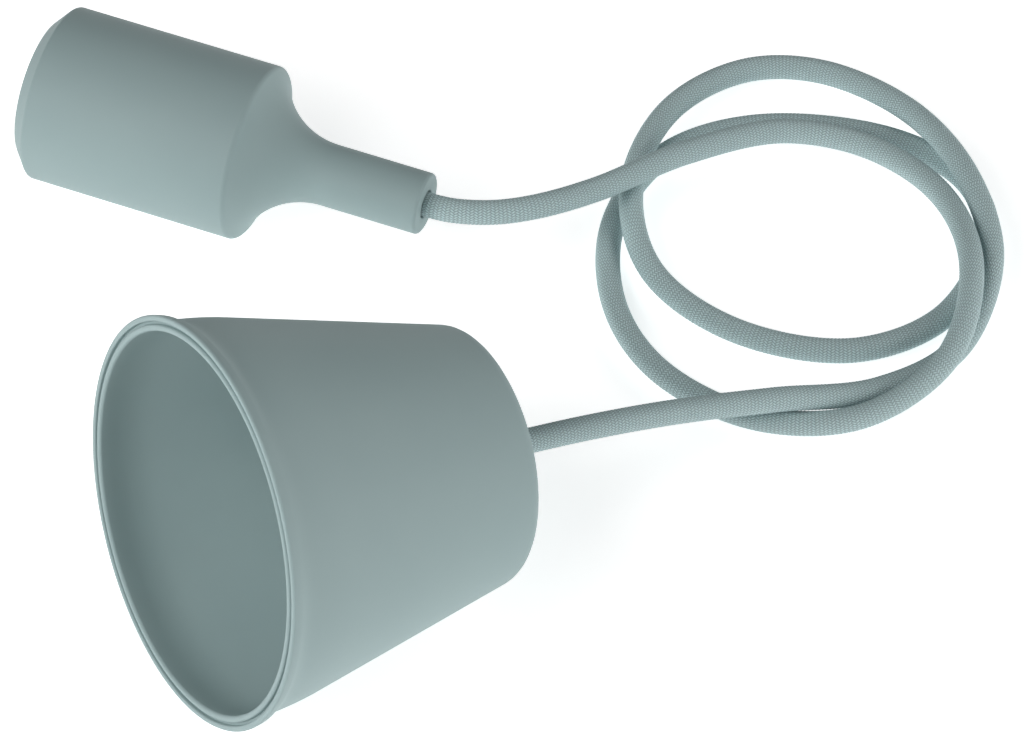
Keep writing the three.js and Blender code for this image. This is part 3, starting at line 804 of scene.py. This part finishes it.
def tube(name, line, radius, sides, finish, swell=0.0):
    """Closed tube along a line, with its column and its turn round stored at each corner."""
    verts = []
    side_way = Vector((0.0, 0.0, 1.0))
    count = len(line)
    for i, point in enumerate(line):
        ahead = (line[min(i + 1, count - 1)] - line[max(i - 1, 0)]).normalized()
        side_way = (side_way - ahead * side_way.dot(ahead)).normalized()
        other_way = ahead.cross(side_way)
        for side in range(sides):
            angle = 2 * math.pi * side / sides
            offset = side_way * math.cos(angle) + other_way * math.sin(angle)
            ripple = swell * math.cos(2 * math.pi * i / RINGS_A_COLUMN + RIPPLES_AROUND * angle)
            verts.append((point + offset * (radius + ripple)) * MM)
    faces = ring_faces(count, sides)
    faces.append(tuple(range(sides))[::-1])
    faces.append(tuple((count - 1) * sides + side for side in range(sides)))
    places = ring_places(count, sides) + [(0.0, 0.5)] * (2 * sides)
    mesh = bpy.data.meshes.new(name)
    mesh.from_pydata(verts, [], faces)
    kept = mesh.attributes.new("cord_place", "FLOAT_VECTOR", "CORNER")
    kept.data.foreach_set("vector", [value for u, v in places for value in (u, v, 0.0)])
    return placed(name, mesh, finish)


# %% Cord
CORD_SIDES = 30
SWELL = 0.07
GRIP_END = 70.3
PATH_STEP = 15

cord = tube("braided_cord", cord_line, CORD_DIAMETER / 2, CORD_SIDES, braid, SWELL)
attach(cord, "root")
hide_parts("cord")
along(HOLDER, GRIP_END) * MM
cord_length * MM
[point * MM for point in cord_line[::PATH_STEP]]
print("cord triangles:", 2 * len(cord.data.polygons))

# %% [markdown]
# ## The holder's skirt
#
# Looking into the sleeve's mouth one sees the flange of the rigid skirt. It is a turned moulding like
# the sleeve, with a flange round the mouth and a narrower spigot at the back that goes into the cap.

# %% Skirt
SKIRT_START = 2.5
SKIRT_END = 34.0
SKIRT_RADIUS = 19.8
SKIRT_BORE = 17.8
SKIRT_MOUTH = 13.2
FLANGE_BACK = 4.7
SPIGOT_START = 32.1
SPIGOT_END = 39.5
SPIGOT_RADIUS = 17.5
SPIGOT_BORE = 15.9
SKIRT_SIDES = 128

skirt = turned("holder_skirt_fine", rounded([
    (SKIRT_MOUTH, SKIRT_START, 0.5),
    (SKIRT_RADIUS, SKIRT_START, 0.3),
    (SKIRT_RADIUS, SKIRT_END, 0.0),
    (SPIGOT_RADIUS, SKIRT_END, 0.0),
    (SPIGOT_RADIUS, SPIGOT_END, 0.0),
    (SPIGOT_BORE, SPIGOT_END, 0.0),
    (SPIGOT_BORE, SPIGOT_START, 0.0),
    (SKIRT_BORE, SPIGOT_START, 0.0),
    (SKIRT_BORE, FLANGE_BACK, 0.0),
    (SKIRT_MOUTH, FLANGE_BACK, 0.4),
]), SKIRT_SIDES, HOLDER, moulding)
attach(skirt, "root")
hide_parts("holder_skirt")

# %% [markdown]
# ## The rolled thread
#
# Inside the skirt is the shell that takes the lamp. It is rolled from thin brass into a round thread:
# seen in section, a wave that climbs by one pitch for each turn. A screw modifier could sweep the wave,
# but the wave also has to fade out at both ends of the shell. So the points are worked out row by row,
# and the sheet gets its thickness from a modifier.

# %% Rolled thread
SHELL_START = 5.0
SHELL_END = 27.5
SHELL_RADIUS = 13.4
SHELL_FOOT_RADIUS = 9.1
SHELL_SHEET = 0.3
SHELL_SIDES = 96
SHELL_ROWS = 120
THREAD_PITCH = 3.62
THREAD_DEPTH = 0.85
THREAD_FADE = 2.0


def rolled_thread(name, finish):
    """Thin shell whose wall follows a round thread, with a foot turned in at its bottom."""
    rings = []
    for row in range(SHELL_ROWS + 1):
        height = SHELL_START + (SHELL_END - SHELL_START) * row / SHELL_ROWS
        fade = min(1.0, (height - SHELL_START) / THREAD_FADE, (SHELL_END - height) / THREAD_FADE)
        ring = []
        for side in range(SHELL_SIDES):
            wave = 0.5 - 0.5 * math.cos(2 * math.pi * (height / THREAD_PITCH - side / SHELL_SIDES))
            ring.append((SHELL_RADIUS - THREAD_DEPTH * wave * fade, height))
        rings.append(ring)
    rings.append([(SHELL_FOOT_RADIUS, SHELL_END)] * SHELL_SIDES)
    verts = []
    for ring in rings:
        for side, (radius, height) in enumerate(ring):
            angle = 2 * math.pi * side / SHELL_SIDES
            verts.append((radius * math.cos(angle), radius * math.sin(angle), height))
    mesh = bpy.data.meshes.new(name)
    mesh.from_pydata(verts, [], ring_faces(len(rings), SHELL_SIDES))
    mesh.transform(HOLDER)
    made = placed(name, mesh, finish)
    wall = made.modifiers.new("sheet thickness", "SOLIDIFY")
    wall.thickness = SHELL_SHEET * MM
    wall.offset = -1.0
    return made


shell = rolled_thread("rolled_thread_shell", brass)
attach(shell, "root")
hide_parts("thread_shell")
print("turns of thread:", round((SHELL_END - SHELL_START) / THREAD_PITCH, 1))

# %% [markdown]
# ## The cores
#
# Where the braid ends, two sheathed cores leave it and turn into their terminals, brown for live and
# blue for neutral. Each is a plain round tube on its own short route, made as the cord is but without
# its ripple. The routes are written in the places of the holder and of the cup, as the fittings are, so
# a core still meets its terminal when the set is laid another way. The points between its ends are shares
# of its way, given for an easy bend.

# %% Core routes
CORE_DIAMETER = 2.2
CORE_SPACING = 2.6
CORE_START = 0.8
HOLDER_WIRE_LEVEL = 43.3
HOLDER_SWING = 4.2
HOLDER_ENTRY = 2.0
LIVE_TERMINAL = -6.5
NEUTRAL_TERMINAL = 9.9
TERMINAL_HALF = 3.5
BARREL_LEVEL = -1.15
BLOCK_FRONT = 56.3
LIVE_WAY = -13.2
NEUTRAL_WAY = -22.2
CUP_TURN = -3.5
CUP_ENTRY = 3.0


def holder_core(side, across):
    """Route from the cord's cut end in the holder round into a terminal."""
    start = side * CORE_SPACING / 2
    level = HOLDER_WIRE_LEVEL
    end = -side * TERMINAL_HALF
    swing = -side * HOLDER_SWING
    return [
        (start, 0.0, CORD_IN_HOLDER - CORE_START),
        (start, -side * (CORE_DIAMETER / 2 - GAP), level + CORE_DIAMETER),
        (start * 1.8, end + swing / 4, level),
        (across * 0.62, end + swing, level),
        (across, end + swing * 0.85, level),
        (across, end + swing * 0.4, level),
        (across, end + side * HOLDER_ENTRY, level),
    ]


def cup_core(side, across, loop):
    """Route from the cord's cut end in the cup, looped back into the terminal block."""
    start = side * CORE_SPACING / 2
    bottom = BLOCK_FRONT - loop
    return [
        (0.0, start, CORD_IN_CUP - CORE_START),
        (0.0, start, CORD_IN_CUP - loop / 2),
        (BARREL_LEVEL / 2, CUP_TURN, bottom + CORE_DIAMETER / 2),
        (BARREL_LEVEL, (across + CUP_TURN) / 2, bottom),
        (BARREL_LEVEL, across * 0.93, bottom + loop * 0.3),
        (BARREL_LEVEL, across, BLOCK_FRONT - CORE_DIAMETER),
        (BARREL_LEVEL, across, BLOCK_FRONT + CUP_ENTRY),
    ]


print("points on a core's route:", len(holder_core(1, NEUTRAL_TERMINAL)))

# %% Core tubes
CORE_PIECES = 90
CORE_SIDES = 20
CORES = [
    ("holder_live_core", HOLDER, holder_core(-1, LIVE_TERMINAL), brown_sheath, "brown_sheath"),
    ("holder_neutral_core", HOLDER, holder_core(1, NEUTRAL_TERMINAL), blue_sheath, "blue_sheath"),
    ("cup_live_core", CUP, cup_core(-1, LIVE_WAY, loop=7.0), brown_sheath, "brown_sheath"),
    ("cup_neutral_core", CUP, cup_core(1, NEUTRAL_WAY, loop=11.0), blue_sheath, "blue_sheath"),
]
for name, place, points, finish, slot in CORES:
    core_route = [place @ Vector(point) / MM for point in points]
    core_line, core_length = smooth_route(core_route, CORE_PIECES)
    core = tube(f"{name}_round", core_line, CORE_DIAMETER / 2, CORE_SIDES, finish)
    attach(core, "root")
    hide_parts(name)
    print(name, "length in mm:", round(core_length, 1))

# %% [markdown]
# ## Slotted screws
#
# The screws in the cup face whoever opens it, so each has a real slot. A dark line painted on the head
# would do from afar and fail close up. So the screw is turned first, and then a thin block is taken out
# of its head with a boolean, as a slitting saw makes the slot. No two screws are tightened to the same
# angle.


# %% Cut one mesh out of another
def cut_out(mesh, knife):
    """Mesh that is left when the knife's shape is taken out of it."""
    body = bpy.data.objects.new("body", mesh)
    blade = bpy.data.objects.new("blade", knife)
    bpy.context.collection.objects.link(body)
    bpy.context.collection.objects.link(blade)
    cut = body.modifiers.new("slot", "BOOLEAN")
    cut.object = blade
    cut.solver = "EXACT"
    left_over = body.evaluated_get(bpy.context.evaluated_depsgraph_get())
    result = bpy.data.meshes.new_from_object(left_over)
    bpy.data.objects.remove(body)
    bpy.data.objects.remove(blade)
    return result


# %% One slotted screw
SCREW_SIDES = 32
SCREW_EDGE = 0.1
HEAD_EDGE = 0.2
HEAD_DRAFT = 0.01
SLOT_WIDTH = 0.7


def slotted_screw(node, seat, angle, head, head_length, shank, length, slot_depth):
    """Screw along the cup's downward way, its head's outer face at the seat."""
    end = head_length + length
    screw = swept(node, rounded([
        (0.0, 0.0, 0.0),
        (head / 2, 0.0, HEAD_EDGE),
        (head / 2, head_length, 0.0),
        (shank / 2, head_length + HEAD_DRAFT, 0.0),
        (shank / 2, end, 0.0),
        (0.0, end, 0.0),
    ]), SCREW_SIDES)
    work = bmesh.new()
    work.from_mesh(screw)
    bmesh.ops.remove_doubles(work, verts=work.verts, dist=0.0001)
    bmesh.ops.recalc_face_normals(work, faces=work.faces)
    work.to_mesh(screw)
    work.clear()
    slot = Matrix.Rotation(math.radians(angle), 4, "Z")
    slot @= Matrix.Diagonal((SLOT_WIDTH, 2 * head, 2 * slot_depth, 1.0))
    bmesh.ops.create_cube(work, size=1.0, matrix=slot)
    knife = bpy.data.meshes.new("slot_knife")
    work.to_mesh(knife)
    work.free()
    screw = cut_out(screw, knife)
    screw.transform(CUP @ Matrix.Translation(seat) @ Matrix.Rotation(math.pi / 2, 4, "Y"))
    made = shown(f"{node}_slotted", screw, steel, SCREW_EDGE)
    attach(made, "root")
    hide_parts(node)


# %% Screws of the cup, with their seats in the cup's own place
CLAMP_SCREW = {"head": 5.2, "head_length": 1.8, "shank": 2.6, "length": 10.0, "slot_depth": 0.9}
BLOCK_SCREW = {"head": 3.4, "head_length": 1.0, "shank": 2.0, "length": 14.0, "slot_depth": 0.6}
BARREL_SCREW = {"head": 2.6, "head_length": 2.0, "shank": 2.58, "length": 2.3, "slot_depth": 0.8}
SCREWS = [
    ("clamp_screw_left", (-7.65, -6.8, 67.1), 24.0, CLAMP_SCREW),
    ("clamp_screw_right", (-7.65, 6.8, 67.1), -58.0, CLAMP_SCREW),
    ("block_screw", (-8.45, -17.7, 65.3), 8.0, BLOCK_SCREW),
    ("live_barrel_screw_1", (-6.85, LIVE_WAY, 60.7), 71.0, BARREL_SCREW),
    ("live_barrel_screw_2", (-6.85, LIVE_WAY, 69.9), -15.0, BARREL_SCREW),
    ("neutral_barrel_screw_1", (-6.85, NEUTRAL_WAY, 60.7), 38.0, BARREL_SCREW),
    ("neutral_barrel_screw_2", (-6.85, NEUTRAL_WAY, 69.9), 112.0, BARREL_SCREW),
]
for name, seat, angle, kind in SCREWS:
    slotted_screw(name, seat, angle, **kind)
print("slotted screws:", len(SCREWS))

# %% [markdown]
# ## Fittings with softened edges
#
# The other fittings are already right in shape, but their edges are razor sharp, and a real moulding or
# a pressed contact never is. They could be modelled again from nothing, which would only copy what the
# CAD model knows. So each is shown as a copy of its CAD mesh with a narrow bevel, and its edges catch
# the light. Mouldings take a wider bevel than sheet brass.

# %% Softened fittings
FITTINGS = [
    (moulding, "pale_moulding", 0.35, [
        "cord_grip", "strain_relief_base", "cord_clamp", "terminal_block",
    ]),
    (moulding, "pale_moulding", 0.25, ["holder_cap", "contact_carrier"]),
    (brass, "brass_parts", 0.25, ["live_terminal", "neutral_terminal"]),
    (brass, "brass_parts", 0.12, ["centre_contact", "live_barrel", "neutral_barrel"]),
    (steel, "plated_steel", 0.25, ["shell_rivet", "centre_rivet", "lock_nut"]),
    (steel, "plated_steel", 0.2, ["live_terminal_screw", "neutral_terminal_screw", "grip_screw"]),
]
for finish, slot, edge, names in FITTINGS:
    for name in names:
        mesh = nodes[name].data.copy()
        mesh.materials.clear()
        fitting = shown(f"{name}_softened", mesh, finish, edge)
        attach(fitting, "root")
        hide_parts(name)
print("softened fittings:", sum(len(row[3]) for row in FITTINGS))

# %% [markdown]
# ## The floor
#
# The set lies on a plain pale sheet. In a photograph on white paper the sheet is as bright as the
# picture can show, and it lights the undersides. A floor that only reflects would need far stronger
# lamps, which would wash out the silicone. So the floor glows a little by itself.

# %% Floor
FLOOR_HALF = 6.0
FLOOR_DROP = 0.0002

floor_finish = Finish(
    "pale_floor",
    Roughness=0.9,
    Specular_IOR_Level=0.1,
    Base_Color=(0.9, 0.9, 0.9, 1.0),
    Emission_Color=(1.0, 1.0, 1.0, 1.0),
    Emission_Strength=0.64,
)
floor_mesh = bpy.data.meshes.new("floor")
corners = [(-1, -1), (1, -1), (1, 1), (-1, 1)]
floor_mesh.from_pydata([(x * FLOOR_HALF, y * FLOOR_HALF, 0.0) for x, y in corners], [], [(0, 1, 2, 3)])
floor = placed("floor", floor_mesh, floor_finish)
floor.location.z = -FLOOR_DROP
print("floor is", 2 * FLOOR_HALF, "m wide")

# %% [markdown]
# ## The light
#
# The photograph's light comes from the front left and from the white surroundings: the undersides are
# light and the tops are dark. One strong lamp would give hard shadows that the photograph lacks. So soft
# panels at the front left do most of the work, a low one in front fills the cup, and two on the right
# lift the far sides. The world itself stays dark, because a bright sky would light the tops.

# %% Lights
PANEL_DISTANCE = 1.6
# Name, azimuth and elevation in degrees, size in metres, power in watts
PANELS = [
    ("front_left_panel", -45.0, 25.0, 0.8, 8.9),
    ("high_left_panel", -45.0, 55.0, 0.8, 5.2),
    ("high_front_panel", -20.0, 45.0, 0.8, 4.8),
    ("low_front_panel", 15.0, 22.0, 0.8, 2.0),
    ("right_panel", 95.0, 15.0, 1.0, 9.8),
    ("back_right_panel", 140.0, 30.0, 1.0, 5.6),
]
for name, azimuth, elevation, size, power in PANELS:
    data = bpy.data.lights.new(name, "AREA")
    data.shape = "SQUARE"
    data.size = size
    data.energy = power
    lamp = bpy.data.objects.new(name, data)
    way = way_to(math.radians(azimuth), math.radians(elevation))
    lamp.location = LOOK_AT + way * PANEL_DISTANCE
    lamp.rotation_euler = way.to_track_quat("Z", "Y").to_euler()
    bpy.context.collection.objects.link(lamp)
print("light in all:", round(sum(row[4] for row in PANELS), 1), "W")

# %% World
world = bpy.data.worlds.new("studio")
world.use_nodes = True
world.node_tree.nodes["Background"].inputs["Color"].default_value = (1.0, 1.0, 1.0, 1.0)
world.node_tree.nodes["Background"].inputs["Strength"].default_value = 0.0
bpy.context.scene.world = world
bpy.context.scene.view_settings.view_transform = "Standard"
print("view transform:", bpy.context.scene.view_settings.view_transform)
